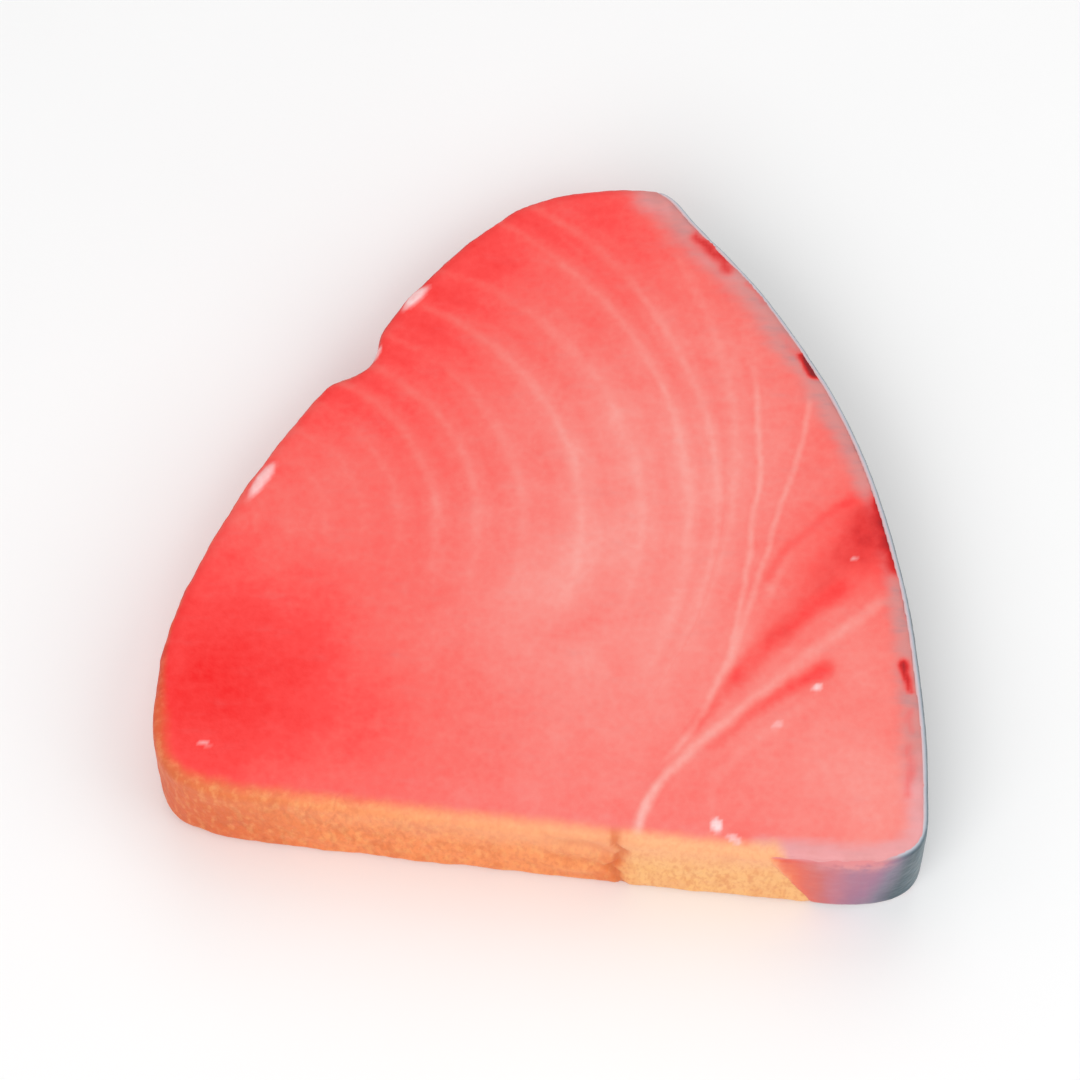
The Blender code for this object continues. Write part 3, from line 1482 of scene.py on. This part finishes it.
@dataclass(frozen=True)
class SkinFinish:
    """Wet skin: rosy where it thins out, then blue-green at the belly and charcoal above.

    Lengths along the skin are in millimetres from its thin end.

    Attributes:
        reach: The length of skin that the ramp covers.
        along: Stops along the skin, as a share of reach and a colour.
        drift: The mottle that shifts them.
        drift_span: Over what share of reach it does.
        layers: Stops through the skin where it is cut, from the flesh outwards.
        cloud: Dull brown-grey clouds on the upper skin.
        clouds: Where they are.
        cloud_run: Lengths between which they come up.
        groove: The dark grooves between the scales.
        scale: How wide a scale is.
        scale_edge: Distances from a scale's middle, as shares of its width, between which
            its groove falls away.
        scale_run: Lengths between which the scales come up.
        groove_share: How much of the grooves' colour shows.
        groove_depth: How deep they are.
        blush: The rosy tinge at the corner's upper rim.
        blushing: Where it is.
        blush_run: Lengths between which it comes up.
        damp: The mottle of wetter and drier places.
        wettest: Roughness where the skin is wettest.
        damp_span: How much rougher it is where it is driest.
        gloss: Specular level.
    """

    reach: float = 200.0
    along: Stops = (
        (0.000, linear(250, 156, 98)),
        (0.006, linear(242, 108, 62)),
        (0.016, linear(230, 86, 60)),
        (0.034, linear(208, 92, 90)),
        (0.056, linear(194, 104, 122)),
        (0.086, linear(160, 104, 136)),
        (0.112, linear(122, 106, 130)),
        (0.155, linear(34, 68, 82)),
        (0.220, linear(42, 86, 100)),
        (0.380, linear(66, 84, 92)),
        (0.560, linear(60, 66, 68)),
        (1.000, linear(52, 52, 50)),
    )
    drift: Mottle = Mottle(6.0, stretch=UPRIGHT)
    drift_span: float = 0.050
    layers: Stops = (
        (0.00, linear(206, 150, 148)),
        (0.30, linear(212, 190, 196)),
        (0.55, linear(184, 188, 198)),
        (0.78, linear(122, 138, 150)),
        (1.00, linear(84, 98, 110)),
    )
    cloud: Colour = linear(112, 104, 98)
    clouds: Patches = Patches(Mottle(9.0, 4.0, warp=0.4), 0.44, 0.74, 0.62)
    cloud_run: Range = (50.0, 110.0)
    groove: Colour = linear(30, 34, 36)
    scale: float = 1.4
    scale_edge: Range = (0.25, 0.75)
    scale_run: Range = (16.0, 44.0)
    groove_share: float = 0.28
    groove_depth: float = 0.06
    blush: Colour = linear(226, 138, 140)
    blushing: Patches = Patches(Mottle(2.4, 4.0), 0.20, 0.65)
    blush_run: Range = (3.0, 11.0)
    damp: Mottle = Mottle(3.0)
    wettest: float = 0.24
    damp_span: float = 0.24
    gloss: float = 0.5

    def material(self) -> bpy.types.Material:
        """Build the skin's material.

        Returns:
            The material.
        """
        graph = NodeGraph("fish skin")
        depth, run, cut = graph.field("skin")
        rim, _, _ = graph.field("edge")
        grooves = self.grooves(graph, run)
        hide = self.hide(graph, run, rim, grooves)
        layers = graph.mix(rim, graph.ramp(depth, self.layers), self.blush)
        graph.feed(graph.shader.inputs["Base Color"], graph.mix(cut, hide, layers))
        damp = graph.scaled(graph.noise(self.damp), self.damp_span, self.wettest)
        graph.feed(graph.shader.inputs["Roughness"], damp)
        normal = graph.bump(graph.opposite(grooves), self.groove_depth)
        graph.feed(graph.shader.inputs["Normal"], normal)
        graph.shader.inputs["Specular IOR Level"].default_value = self.gloss
        return graph.material

    def grooves(self, graph: NodeGraph, run: Socket) -> Socket:
        """The grooves between the scales.

        Args:
            graph: The material's graph.
            run: How far along the skin the place is.

        Returns:
            How deep in a groove the place is, from 0 to 1.
        """
        edges = graph.rise(graph.cells(self.scale), *self.scale_edge)
        return graph.times(edges, graph.rise(run, *self.scale_run))

    def hide(self, graph: NodeGraph, run: Socket, rim: Socket, grooves: Socket) -> Socket:
        """The skin's outer face.

        Args:
            graph: The material's graph.
            run: How far along the skin the place is.
            rim: 1 at the corner's upper rim.
            grooves: How deep in a groove the place is.

        Returns:
            Its colour.
        """
        share = graph.stirred(graph.scaled(run, 1.0 / self.reach), self.drift, self.drift_span)
        hide = graph.ramp(share, self.along)
        clouds = graph.times(graph.patches(self.clouds), graph.rise(run, *self.cloud_run))
        hide = graph.mix(clouds, hide, self.cloud)
        hide = graph.mix(graph.scaled(grooves, self.groove_share), hide, self.groove)
        blush = graph.times(rim, graph.patches(self.blushing))
        blush = graph.times(blush, graph.rise(run, *self.blush_run))
        return graph.mix(blush, hide, self.blush)


# ---------------------------------------------------------------------------------------
# The steak's pieces
# ---------------------------------------------------------------------------------------

@dataclass(frozen=True)
class SkinEnd:
    """The slanting end of the skin on the front cut.

    Attributes:
        top_x: x of the end at the upper cut face.
        bottom_x: x of the end at the lower cut face.
        height: The steak's thickness.
    """

    top_x: float = 41.2
    bottom_x: float = 52.0
    height: float = 24.0

    def beyond(self, x: Array, z: Array) -> Array:
        """How far x lies past the end at height z."""
        return x - self.bottom_x - (self.top_x - self.bottom_x) * z / self.height


@dataclass(frozen=True)
class FrontCreases:
    """The crack where the main connective line reaches the front side, and folds beside it.

    Attributes:
        front_y: Places with a lower y belong to the front side.
        crack_x: Where the crack is.
        crack_half: Half of its width.
        crack_depth: How deep it is.
        sways: Waves that sway it: how far, radians for each millimetre up, and shift.
        folds_x: Where the middle of the folds is.
        folds_half: How far they spread to each side.
        folds_height: How high they are.
        folds_up: How tightly they follow on each other upwards, in radians a millimetre.
        folds_across: How steeply they slant.
        folds_wave: How far they waver.
        folds_waver: How often they do, in radians a millimetre across.
        shade_depths: Heights between which a crease gets painted shade.
    """

    front_y: float = -40.0
    crack_x: float = 14.4
    crack_half: float = 0.8
    crack_depth: float = 0.8
    sways: tuple[tuple[float, float, float], ...] = ((0.9, 0.42, 0.6), (0.4, 1.1, 0.0))
    folds_x: float = 7.0
    folds_half: float = 6.5
    folds_height: float = 0.20
    folds_up: float = 0.75
    folds_across: float = 0.30
    folds_wave: float = 0.8
    folds_waver: float = 0.5
    shade_depths: Range = (0.05, -0.45)

    def heights(self, x: Array, y: Array, z: Array) -> Array:
        """How far the folds stand out and the crack goes in.

        Args:
            x: Places across the steak.
            y: Places along it.
            z: Places through its thickness.

        Returns:
            The heights, in millimetres.
        """
        sway = sum(reach * np.sin(z * turn + shift) for reach, turn, shift in self.sways)
        crack = np.exp(-(((x - self.crack_x - sway) / self.crack_half) ** 2))
        spread = np.exp(-(((x - self.folds_x) / self.folds_half) ** 2))
        slant = self.folds_across * x + self.folds_wave * np.sin(self.folds_waver * x)
        folds = spread * np.sin(z * self.folds_up + slant)
        return (y < self.front_y) * (self.folds_height * folds - self.crack_depth * crack)

    def painted_shade(self, x: Array, y: Array, z: Array) -> Array:
        """How much painted shade each place gets, by how deep in a crease it is.

        Args:
            x: Places across the steak.
            y: Places along it.
            z: Places through its thickness.

        Returns:
            Shares from 0 to 1.
        """
        return smoothstep(*self.shade_depths, self.heights(x, y, z)) * (y < self.front_y)


@dataclass(frozen=True)
class Bed:
    """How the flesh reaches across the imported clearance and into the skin.

    Attributes:
        clearance: What counts as near the skin.
        touching: What counts as touching it already.
        overlap: How far the flesh goes past the skin's surface.
        corner_overlap: How far it does round the belly corner.
        corner_y: Where the corner starts.
        corner_fade: Over what length the overlap grows there.
    """

    clearance: float = 0.5
    touching: float = 0.01
    overlap: float = 0.5
    corner_overlap: float = 0.95
    corner_y: float = -60.0
    corner_fade: float = 6.0

    def overlap_at(self, y: float) -> float:
        """How far the flesh goes past the skin's surface at y."""
        corner = min(max((self.corner_y - y) / self.corner_fade, 0.0), 1.0)
        return self.overlap + (self.corner_overlap - self.overlap) * corner

    def reach_into(self, mesh: bmesh.types.BMesh, skin: BVHTree) -> None:
        """Move the part of a mesh that faces the skin into it.

        Args:
            mesh: The flesh's mesh.
            skin: The skin's surface.
        """
        for point in mesh.verts:
            nearest, _, _, away = skin.find_nearest(point.co)
            if self.touching * MM < away < self.clearance * MM:
                depth = self.overlap_at(point.co.y / MM) * MM
                point.co = nearest + (nearest - point.co).normalized() * depth

    def holds(self, face: bmesh.types.BMFace, skin: BVHTree) -> bool:
        """Whether a face of the flesh lies in the bed."""
        near = (self.clearance + self.corner_overlap) * MM
        return skin.find_nearest(face.calc_center_median())[3] < near


@dataclass
class Flesh:
    """The steak's flesh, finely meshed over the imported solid.

    Attributes:
        node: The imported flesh.
        skin_node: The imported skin.
        pattern: The muscle's pattern.
        finish: The flesh's finish.
        creases: The front side's creases.
        bed: The bed that the skin lies on.
        voxel: How wide the mesh's squares are.
        smoothing: How many times the mesh is smoothed, and how far.
        side_slope: The most that a side's face may point up or down, as its normal's z.
        wall_slopes: The same value between which a cut face turns into a side.
        lean: How far the muscle's sheets lean, for each millimetre down.
        strays: Reliefs that move the blood marks and scraps about, across and along.
        scrap_stray: How much of that the scraps take.
        band: The fatty band's width, as pairs of y and width.
        band_fade: How many of its widths the band fades out over.
        rim_fade: How far a side's colour creeps over the rim.
        front_rim_fade: How much further it does in front.
        front_fade: y between which it does.
        side_edge: Shares of that distance between which the side's colour comes up.
        belly_lilac: How bluish the band is at the belly.
        belly_y: y between which that comes up.
        point_lilac: How bluish it is at the pointed end.
        point_y: y between which that comes up.
        scrap_heights: Shares of the thickness between which scraps come up.
        face_reliefs: Reliefs of the cut faces.
        side_reliefs: Reliefs of the trimmed sides.
        arc_lift: How far an arc stands out.
        arc_half: Half of the width over which it does.
        line_lift: How far a connective line does, for each unit of its tone.
        line_reach: How many of its half widths it does over.
        blood_dip: How far a blood mark lies below the face.
    """

    node: bpy.types.Object
    skin_node: bpy.types.Object
    pattern: MusclePattern
    finish: FleshFinish = FleshFinish()
    creases: FrontCreases = FrontCreases()
    bed: Bed = Bed()
    voxel: float = 0.69
    smoothing: tuple[int, float] = (2, 0.5)
    side_slope: float = 0.3
    wall_slopes: Range = (0.985, 0.45)
    lean: tuple[float, float] = (0.10, -0.16)
    strays: tuple[Relief, Relief] = (Relief(0.9, 4.5, 21.0), Relief(0.9, 4.5, 34.0))
    scrap_stray: float = 0.5
    band: tuple[tuple[float, float], ...] = (
        (-72.0, 2.2), (-66.0, 3.0), (-55.0, 4.4), (-40.0, 4.2),
        (-5.0, 2.6), (22.0, 4.2), (45.0, 5.4), (70.0, 6.0),
    )
    band_fade: float = 1.5
    rim_fade: float = 1.5
    front_rim_fade: float = 3.4
    front_fade: Range = (-20.0, -45.0)
    side_edge: Range = (1.0, 0.10)
    belly_lilac: float = 0.8
    belly_y: Range = (-40.0, -64.0)
    point_lilac: float = 0.25
    point_y: Range = (30.0, 62.0)
    scrap_heights: Range = (0.80, 0.93)
    face_reliefs: tuple[Relief, ...] = (Relief(0.28, 26.0, 3.1), Relief(0.05, 2.4, 7.7, 3))
    side_reliefs: tuple[Relief, ...] = (
        Relief(0.26, 8.0, 11.3),
        Relief(0.10, 2.2, 5.9, stretch=UPRIGHT),
    )
    arc_lift: float = 0.08
    arc_half: float = 1.8
    line_lift: float = 0.35
    line_reach: float = 2.2
    blood_dip: float = 0.22

    def build(self) -> bpy.types.Object:
        """Make the flesh.

        Returns:
            The finished object.
        """
        skin = surface_of(self.skin_node)
        made = self.rough_body(skin)
        sides = self.trimmed_sides(made, skin)
        remesh(made, self.voxel)
        relax(made, *self.smoothing)
        places = places_of(made)
        normals = normals_of(made)
        self.keep_fields(made, places, distances(places, sides), distances(places, skin))
        wall = smoothstep(*self.wall_slopes, np.abs(normals[:, 2]))
        raise_points(made, places, normals, self.relief(places, wall))
        made.data.shade_smooth()
        made.data.materials.append(self.finish.material())
        LOG.info("flesh: %d points, %d faces", len(places), len(made.data.polygons))
        return made

    def rough_body(self, skin: BVHTree) -> bpy.types.Object:
        """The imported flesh, reaching across the clearance to the skin.

        Args:
            skin: The skin's surface.

        Returns:
            The object.
        """
        mesh = welded_copy(self.node)
        self.bed.reach_into(mesh, skin)
        return place_object("tuna_flesh", mesh)

    def trimmed_sides(self, body: bpy.types.Object, skin: BVHTree) -> BVHTree:
        """The sides that were trimmed, without the cut faces, their rims and the skin's bed.

        Args:
            body: The rough body.
            skin: The skin's surface.

        Returns:
            Their surface.
        """
        mesh = bmesh.new()
        mesh.from_mesh(body.data)
        mesh.normal_update()
        spare = [
            face for face in mesh.faces
            if abs(face.normal.z) > self.side_slope or self.bed.holds(face, skin)
        ]
        bmesh.ops.delete(mesh, geom=spare, context="FACES")
        tree = BVHTree.FromBMesh(mesh)
        mesh.free()
        return tree

    def leaned(self, places: Array) -> tuple[Array, Array]:
        """Where the muscle's pattern is read, as its sheets lean through the thickness."""
        below = places[:, 2].max() - places[:, 2]
        return places[:, 0] + self.lean[0] * below, places[:, 1] + self.lean[1] * below

    def keep_fields(self, made: bpy.types.Object, places: Array, inset: Array, away: Array) -> None:
        """Store the muscle's pattern on the mesh.

        Args:
            made: The object.
            places: Its points.
            inset: How far they are from the trimmed sides.
            away: How far they are from the skin.
        """
        x, y, z = places.T
        height = z / z.max()
        across, along = self.leaned(places)
        keep_field(made, "flake", *self.pattern.flake_field(across, along))
        for index, septum in enumerate(self.pattern.septa):
            keep_field(made, f"septum_{index}", *self.pattern.septum_field(septum, across, along))
        stray_x, stray_y = (stray.at(places) for stray in self.strays)
        blood = self.pattern.blood_field(across + stray_x, along + stray_y)
        fat = smoothstep(self.band_fade, 0.0, away / np.interp(y, *zip(*self.band)))
        keep_field(made, "tone", self.pattern.tone_field(across, along), blood, fat)
        bearing = 0.5 + np.arctan2(-y, -x) / TURN
        keep_field(made, "side", self.side_share(inset, y), bearing, height)
        strayed = x + self.scrap_stray * stray_x, y + self.scrap_stray * stray_y
        white, _ = self.pattern.scrap_field(*strayed)
        white = white * smoothstep(*self.scrap_heights, height)
        lilac = np.maximum(self.belly_lilac * smoothstep(*self.belly_y, y),
                           self.point_lilac * smoothstep(*self.point_y, y))
        # The third value is painted shade for the front side's creases.
        keep_field(made, "edge", white, lilac, self.creases.painted_shade(x, y, z))

    def side_share(self, inset: Array, y: Array) -> Array:
        """How much of a trimmed side's colour each place has.

        Args:
            inset: How far the places are from the trimmed sides.
            y: Where they are along the steak.

        Returns:
            Shares from 0 to 1.
        """
        fade = self.rim_fade + self.front_rim_fade * smoothstep(*self.front_fade, y)
        return smoothstep(*self.side_edge, inset / fade)

    def relief(self, places: Array, wall: Array) -> Array:
        """How far each point stands out from the smooth form.

        Args:
            places: The points.
            wall: 0 on the cut faces and 1 on the sides.

        Returns:
            The heights, in millimetres.
        """
        x, y, z = places.T
        face = self.muscle_relief(*self.leaned(places))
        face += sum(relief.at(places) for relief in self.face_reliefs)
        side = self.creases.heights(x, y, z)
        side += sum(relief.at(places) for relief in self.side_reliefs)
        _, scrap = self.pattern.scrap_field(x, y)
        scrap = scrap * smoothstep(*self.scrap_heights, z / z.max())
        return (1.0 - wall) * face + wall * side + scrap

    def muscle_relief(self, across: Array, along: Array) -> Array:
        """How far the arcs, lines and blood marks stand out on a cut face.

        Args:
            across: Where the pattern is read, across the steak.
            along: Where it is read, along the steak.

        Returns:
            The heights, in millimetres.
        """
        phase, spacing, strength = self.pattern.flake_field(across, along)
        away = np.abs(phase - np.round(phase)) * spacing
        lift = self.arc_lift * strength * smoothstep(self.arc_half, 0.0, away)
        for septum in self.pattern.septa:
            distance, change = self.pattern.septum_field(septum, across, along)
            core = smoothstep(self.line_reach * septum.half_width, 0.0, np.abs(distance))
            lift += self.line_lift * change * core
        return lift - self.blood_dip * self.pattern.blood_field(across, along)


@dataclass
class Skin:
    """The strip of skin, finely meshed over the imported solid.

    Attributes:
        node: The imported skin.
        flesh_node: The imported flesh.
        finish: The skin's finish.
        skin_end: The skin's slanting end.
        voxel: How wide the mesh's squares are.
        smoothing: How many times the mesh is smoothed, and how far.
        gap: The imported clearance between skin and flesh.
        thickness: The skin's thickness.
        course: Places that the skin passes through, from its thin end.
        front: Shares of the course between which lengths start from the slanting end.
        tilt: How much further along the colours lie for each millimetre down.
        tilt_run: Lengths between which that comes up.
        cut_slopes: The normal's z between which the outer face turns into a cut one.
        corner_y: y between which the rosy rim comes up round the belly corner.
        corner_z: Heights between which it does.
        corner_run: Lengths between which it fades out again.
        reliefs: The skin's reliefs.
    """

    node: bpy.types.Object
    flesh_node: bpy.types.Object
    finish: SkinFinish = SkinFinish()
    skin_end: SkinEnd = SkinEnd()
    voxel: float = 0.40
    smoothing: tuple[int, float] = (2, 0.5)
    gap: float = 0.3
    thickness: float = 1.4
    course: tuple[Place, ...] = (
        (40.0, -69.1), (62.5, -70.6), (70.6, -66.8), (72.2, -57.0), (71.8, -38.0), (68.7, -12.0),
        (60.3, 17.7), (45.1, 45.3), (30.3, 63.6), (25.0, 70.0),
    )
    front: Range = (0.14, 0.02)
    tilt: float = 0.36
    tilt_run: Range = (2.0, 16.0)
    cut_slopes: Range = (0.20, 0.62)
    corner_y: Range = (-50.0, -64.0)
    corner_z: Range = (17.0, 22.5)
    corner_run: Range = (27.0, 14.0)
    reliefs: tuple[Relief, ...] = (Relief(0.10, 9.0, 2.3), Relief(0.04, 2.0, 6.1, 3))

    def build(self) -> bpy.types.Object:
        """Make the skin.

        Returns:
            The finished object.
        """
        made = place_object("tuna_skin", welded_copy(self.node))
        remesh(made, self.voxel)
        relax(made, *self.smoothing)
        places = places_of(made)
        normals = normals_of(made)
        self.keep_fields(made, places, normals)
        raise_points(made, places, normals, sum(relief.at(places) for relief in self.reliefs))
        made.data.shade_smooth()
        made.data.materials.append(self.finish.material())
        LOG.info("skin: %d points, %d faces", len(places), len(made.data.polygons))
        return made

    def keep_fields(self, made: bpy.types.Object, places: Array, normals: Array) -> None:
        """Store on the mesh how deep in the skin and how far along it each point is.

        Args:
            made: The object.
            places: Its points.
            normals: Their normals.
        """
        _, y, z = places.T
        depth = (distances(places, surface_of(self.flesh_node)) - self.gap) / self.thickness
        run = self.run_along(places)
        cut = smoothstep(*self.cut_slopes, np.abs(normals[:, 2]))
        keep_field(made, "skin", np.clip(depth, 0.0, 1.0), np.maximum(run, 0.0), cut)
        rim = smoothstep(*self.corner_y, y) * smoothstep(*self.corner_z, z)
        keep_field(made, "edge", rim * smoothstep(*self.corner_run, run))

    def run_along(self, places: Array) -> Array:
        """How far along the skin each place is, from its slanting end.

        Args:
            places: The places.

        Returns:
            The lengths, in millimetres.
        """
        x, y, z = places.T
        _, share = line_field(self.course, x, y)
        run = share * float(np.hypot(*np.diff(smooth_line(self.course), axis=0).T).sum())
        front = smoothstep(*self.front, share)
        tilted = self.tilt * (self.skin_end.height / 2.0 - z) * smoothstep(*self.tilt_run, run)
        return run * (1.0 - front) + self.skin_end.beyond(x, z) * front + tilted


# ---------------------------------------------------------------------------------------
# The studio
# ---------------------------------------------------------------------------------------

@dataclass(frozen=True)
class SoftBox:
    """A square area light that faces the steak.

    Attributes:
        name: Its name.
        place: Where it stands, in metres.
        size: How wide it is, in metres.
        watts: Its power.
    """

    name: str
    place: tuple[float, float, float]
    size: float
    watts: float


@dataclass(frozen=True)
class FloorFinish:
    """A pale matt floor.

    Attributes:
        shades: The two shades that it drifts between.
        drift: The mottle of the shades.
        roughness: How dull it is.
        gloss: Specular level.
    """

    shades: tuple[Colour, Colour] = (linear(246, 246, 246), linear(249, 249, 249))
    drift: Mottle = Mottle(60.0, 2.0)
    roughness: float = 0.65
    gloss: float = 0.15

    def material(self) -> bpy.types.Material:
        """Build the floor's material.

        Returns:
            The material.
        """
        graph = NodeGraph("pale floor")
        tint = graph.mix(graph.noise(self.drift), *self.shades)
        graph.feed(graph.shader.inputs["Base Color"], tint)
        graph.shader.inputs["Roughness"].default_value = self.roughness
        graph.shader.inputs["Specular IOR Level"].default_value = self.gloss
        return graph.material


@dataclass
class Studio:
    """A pale floor, soft lights and the camera.

    Attributes:
        target: What the lights and the camera point at.
        distance: How far the camera is from it, in metres.
        elevation: How far above the floor the camera looks from, in degrees.
        lens: The camera's focal length, in millimetres.
        clip_start: The nearest that the camera sees, in metres.
        floor_half: Half of the floor's width, in metres.
        floor_drop: How far the floor lies below the steak, in millimetres.
        floor_finish: The floor's finish.
        boxes: The soft boxes.
        surround: How bright the white surroundings are.
    """

    target: Vector
    distance: float = 0.93
    elevation: float = 65.5
    lens: float = 160.0
    clip_start: float = 0.01
    floor_half: float = 3.0
    floor_drop: float = 0.05
    floor_finish: FloorFinish = FloorFinish()
    boxes: tuple[SoftBox, ...] = (
        SoftBox("key_light", (-0.30, -0.75, 0.85), 0.80, 5.2),
        SoftBox("fill_light", (0.70, -0.20, 0.80), 0.80, 2.4),
        SoftBox("back_light", (0.05, 0.70, 0.90), 0.80, 2.0),
    )
    surround: float = 0.58

    def build(self) -> None:
        """Put up the floor, the lights and the camera."""
        self.add_floor()
        self.add_lights()
        self.add_surroundings()
        self.add_camera()
        LOG.info("studio: floor, %d lights and camera", len(self.boxes))

    def add_floor(self) -> None:
        """A wide pale floor just below the steak."""
        mesh = bmesh.new()
        bmesh.ops.create_grid(mesh, x_segments=1, y_segments=1, size=self.floor_half)
        bmesh.ops.translate(mesh, verts=mesh.verts, vec=(0.0, 0.0, -self.floor_drop * MM))
        floor = place_object("studio_floor", mesh)
        floor.data.materials.append(self.floor_finish.material())
        floor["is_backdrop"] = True

    def add_lights(self) -> None:
        """The soft boxes, each turned towards the steak."""
        for box in self.boxes:
            light = bpy.data.lights.new(box.name, "AREA")
            light.size = box.size
            light.energy = box.watts
            lamp = bpy.data.objects.new(box.name, light)
            lamp.location = box.place
            heading = self.target - Vector(box.place)
            lamp.rotation_euler = heading.to_track_quat("-Z", "Y").to_euler()
            bpy.context.scene.collection.objects.link(lamp)

    def add_surroundings(self) -> None:
        """Even white surroundings."""
        world = bpy.data.worlds.new("soft surroundings")
        world.use_nodes = True
        background = world.node_tree.nodes["Background"]
        background.inputs["Color"].default_value = (1.0, 1.0, 1.0, 1.0)
        background.inputs["Strength"].default_value = self.surround
        bpy.context.scene.world = world

    def add_camera(self) -> None:
        """The camera, looking steeply down along +Y."""
        lens = bpy.data.cameras.new("camera")
        lens.lens = self.lens
        lens.clip_start = self.clip_start
        camera = bpy.data.objects.new("camera", lens)
        tilt = math.radians(self.elevation)
        back = Vector((0.0, -math.cos(tilt), math.sin(tilt)))
        camera.location = self.target + back * self.distance
        camera.rotation_euler = Euler((math.pi / 2.0 - tilt, 0.0, 0.0))
        bpy.context.scene.collection.objects.link(camera)
        bpy.context.scene.camera = camera
        bpy.context.scene.view_settings.view_transform = "Standard"


def fit(piece: bpy.types.Object, node: str) -> None:
    """Tie a piece to the frame.

    Args:
        piece: The piece.
        node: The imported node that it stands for.
    """
    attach(piece, "root")
    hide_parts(node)


def main() -> None:
    """Build the steak and its studio."""
    logging.basicConfig(level=logging.INFO, format="%(message)s")
    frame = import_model()
    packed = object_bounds()
    nodes = frame["nodes"]
    flesh = Flesh(nodes["flesh"], nodes["skin"], MusclePattern()).build()
    skin = Skin(nodes["skin"], nodes["flesh"]).build()
    fit(flesh, "flesh")
    fit(skin, "skin")
    low, high = packed
    middle = (Vector(low) + Vector(high)) / 2.0
    Studio(middle).build()


if __name__ == "__main__":
    main()
